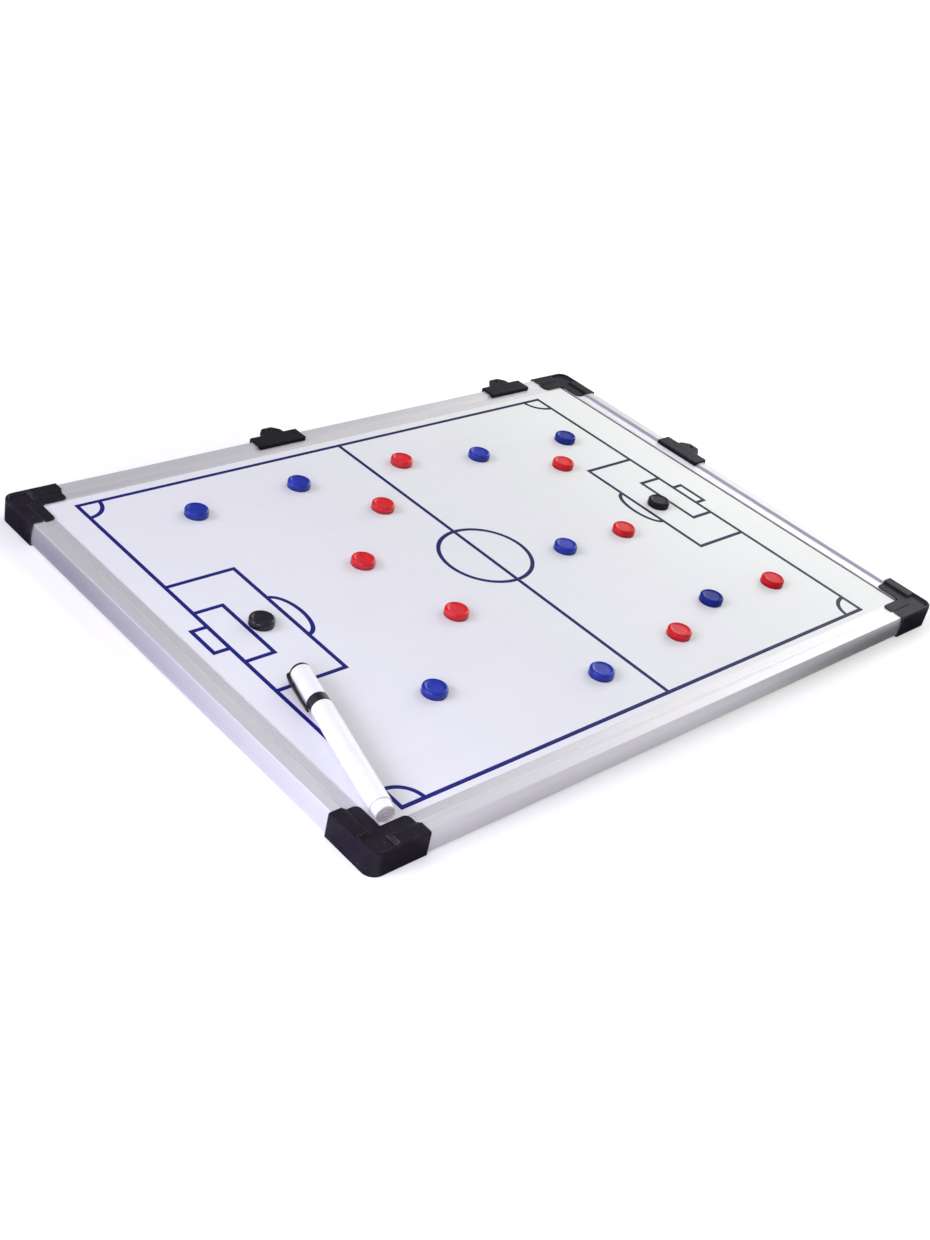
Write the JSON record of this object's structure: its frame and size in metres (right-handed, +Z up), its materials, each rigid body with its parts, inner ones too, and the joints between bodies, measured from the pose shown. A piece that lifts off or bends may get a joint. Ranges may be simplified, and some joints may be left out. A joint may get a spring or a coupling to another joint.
{
  "type": "tactics board",
  "caption": "Flat white dry-wipe tactics board with a printed football pitch, aluminium frame, black corner caps, sliding hanging clips, coloured round magnets and a capped marker.",
  "frame": {"origin": "middle of the underside of the bounding box, on the surface the board lies on", "axes": "+X along the board's length, towards the short side with the hanging clip; +Y across it, towards the long side with two hanging clips; +Z up out of the writing surface"},
  "size_m": [0.6158, 0.46, 0.0316],
  "materials": {
    "white_lacquer": "gloss white lacquer on thin steel sheet, dry-wipe",
    "pitch_print": "blue line print under the clear gloss lacquer",
    "core_fibreboard": "raw fibreboard core",
    "backing_steel": "galvanised sheet, dull spangle",
    "anodised_aluminium": "satin anodised extrusion with fine die lines",
    "black_plastic": "fine moulded grain, lighter worn edges",
    "screw_steel": "zinc plated",
    "magnet_red": "semi-gloss moulded plastic",
    "magnet_blue": "semi-gloss moulded plastic",
    "magnet_black": "semi-gloss moulded plastic",
    "ferrite": "sintered ferrite, matte dark grey",
    "marker_white": "smooth gloss plastic",
    "marker_black": "smooth satin moulded plastic",
    "ink_fibre": "ink-soaked fibre rod",
    "nib_felt": "bonded felt nib"
  },
  "bodies": {
    "board": {"back_sheet": "backing_steel", "core_board": "core_fibreboard", "corner_cap_far_left": "black_plastic", "corner_cap_far_right": "black_plastic", "corner_cap_near_left": "black_plastic", "corner_cap_near_right": "black_plastic", "corner_screws": "screw_steel", "rail_far": "anodised_aluminium", "rail_left": "anodised_aluminium", "rail_near": "anodised_aluminium", "rail_right": "anodised_aluminium", "writing_sheet": "white_lacquer"},
    "magnet_blue_1": {"magnet_cap_blue_1": "magnet_blue", "magnet_ferrite_blue_1": "ferrite"},
    "magnet_blue_2": {"magnet_cap_blue_2": "magnet_blue", "magnet_ferrite_blue_2": "ferrite"},
    "magnet_blue_3": {"magnet_cap_blue_3": "magnet_blue", "magnet_ferrite_blue_3": "ferrite"},
    "magnet_blue_4": {"magnet_cap_blue_4": "magnet_blue", "magnet_ferrite_blue_4": "ferrite"},
    "magnet_blue_5": {"magnet_cap_blue_5": "magnet_blue", "magnet_ferrite_blue_5": "ferrite"},
    "magnet_blue_6": {"magnet_cap_blue_6": "magnet_blue", "magnet_ferrite_blue_6": "ferrite"},
    "magnet_blue_7": {"magnet_cap_blue_7": "magnet_blue", "magnet_ferrite_blue_7": "ferrite"},
    "magnet_blue_8": {"magnet_cap_blue_8": "magnet_blue", "magnet_ferrite_blue_8": "ferrite"},
    "magnet_red_1": {"magnet_cap_red_1": "magnet_red", "magnet_ferrite_red_1": "ferrite"},
    "magnet_red_2": {"magnet_cap_red_2": "magnet_red", "magnet_ferrite_red_2": "ferrite"},
    "magnet_red_3": {"magnet_cap_red_3": "magnet_red", "magnet_ferrite_red_3": "ferrite"},
    "magnet_red_4": {"magnet_cap_red_4": "magnet_red", "magnet_ferrite_red_4": "ferrite"},
    "magnet_red_5": {"magnet_cap_red_5": "magnet_red", "magnet_ferrite_red_5": "ferrite"},
    "magnet_red_6": {"magnet_cap_red_6": "magnet_red", "magnet_ferrite_red_6": "ferrite"},
    "magnet_red_7": {"magnet_cap_red_7": "magnet_red", "magnet_ferrite_red_7": "ferrite"},
    "magnet_red_8": {"magnet_cap_red_8": "magnet_red", "magnet_ferrite_red_8": "ferrite"},
    "magnet_black_1": {"magnet_cap_black_1": "magnet_black", "magnet_ferrite_black_1": "ferrite"},
    "magnet_black_2": {"magnet_cap_black_2": "magnet_black", "magnet_ferrite_black_2": "ferrite"},
    "clip_far_1": {"hanging_clip_far_1": "black_plastic"},
    "clip_far_2": {"hanging_clip_far_2": "black_plastic"},
    "clip_right": {"hanging_clip_right": "black_plastic"},
    "marker": {"marker_barrel": "marker_white", "marker_end_plug": "marker_white", "marker_ink_reservoir": "ink_fibre", "marker_nib_holder": "marker_black", "marker_nib": "nib_felt"},
    "marker_cap": {"marker_cap": "marker_black", "marker_cap_sleeve": "marker_white"}
  },
  "joints": [
    {"name": "magnet_blue_1_slide", "type": "slide", "parent": "board", "child": "magnet_blue_1", "axis": [1, 0, 0], "range_m": [-0.0874, 0.0491]},
    {"name": "magnet_blue_2_slide", "type": "slide", "parent": "board", "child": "magnet_blue_2", "axis": [1, 0, 0], "range_m": [-0.0308, 0.0522]},
    {"name": "magnet_blue_3_slide", "type": "slide", "parent": "board", "child": "magnet_blue_3", "axis": [1, 0, 0], "range_m": [-0.0258, 0.0397]},
    {"name": "magnet_blue_4_slide", "type": "slide", "parent": "board", "child": "magnet_blue_4", "axis": [1, 0, 0], "range_m": [-0.0405, 0.0655]},
    {"name": "magnet_blue_5_slide", "type": "slide", "parent": "board", "child": "magnet_blue_5", "axis": [1, 0, 0], "range_m": [-0.2445, 0.0335]},
    {"name": "magnet_blue_6_slide", "type": "slide", "parent": "board", "child": "magnet_blue_6", "axis": [1, 0, 0], "range_m": [-0.0161, 0.0354]},
    {"name": "magnet_blue_7_slide", "type": "slide", "parent": "board", "child": "magnet_blue_7", "axis": [1, 0, 0], "range_m": [-0.1998, 0.0232]},
    {"name": "magnet_blue_8_slide", "type": "slide", "parent": "board", "child": "magnet_blue_8", "axis": [1, 0, 0], "range_m": [-0.0642, 0.2458]},
    {"name": "magnet_red_1_slide", "type": "slide", "parent": "board", "child": "magnet_red_1", "axis": [1, 0, 0], "range_m": [-0.0337, 0.0268]},
    {"name": "magnet_red_2_slide", "type": "slide", "parent": "board", "child": "magnet_red_2", "axis": [1, 0, 0], "range_m": [-0.2314, 0.0886]},
    {"name": "magnet_red_3_slide", "type": "slide", "parent": "board", "child": "magnet_red_3", "axis": [1, 0, 0], "range_m": [-0.164, 0.372]},
    {"name": "magnet_red_4_slide", "type": "slide", "parent": "board", "child": "magnet_red_4", "axis": [1, 0, 0], "range_m": [-0.1123, 0.3507]},
    {"name": "magnet_red_5_slide", "type": "slide", "parent": "board", "child": "magnet_red_5", "axis": [1, 0, 0], "range_m": [-0.0915, 0.1035]},
    {"name": "magnet_red_6_slide", "type": "slide", "parent": "board", "child": "magnet_red_6", "axis": [1, 0, 0], "range_m": [-0.0134, 0.0226]},
    {"name": "magnet_red_7_slide", "type": "slide", "parent": "board", "child": "magnet_red_7", "axis": [1, 0, 0], "range_m": [-0.05, 0.098]},
    {"name": "magnet_red_8_slide", "type": "slide", "parent": "board", "child": "magnet_red_8", "axis": [1, 0, 0], "range_m": [-0.0156, 0.0729]},
    {"name": "magnet_black_1_slide", "type": "slide", "parent": "board", "child": "magnet_black_1", "axis": [1, 0, 0], "range_m": [-0.0475, 0.3755]},
    {"name": "magnet_black_2_slide", "type": "slide", "parent": "board", "child": "magnet_black_2", "axis": [1, 0, 0], "range_m": [-0.0217, 0.0693]},
    {"name": "clip_far_1_slide", "type": "slide", "parent": "board", "child": "clip_far_1", "axis": [1, 0, 0], "range_m": [-0.1805, 0.1065]},
    {"name": "clip_far_2_slide", "type": "slide", "parent": "board", "child": "clip_far_2", "axis": [1, 0, 0], "range_m": [-0.1115, 0.0155]},
    {"name": "clip_right_slide", "type": "slide", "parent": "board", "child": "clip_right", "axis": [0, 1, 0], "range_m": [-0.2115, 0.0965]},
    {"name": "marker_lift", "type": "slide", "parent": "board", "child": "marker", "axis": [0, 0, 1], "range_m": [0, 0.06]},
    {"name": "marker_cap_pull", "type": "slide", "parent": "marker", "child": "marker_cap", "axis": [0.2727, 0.9621, 0], "range_m": [0, 0.045]}
  ]
}
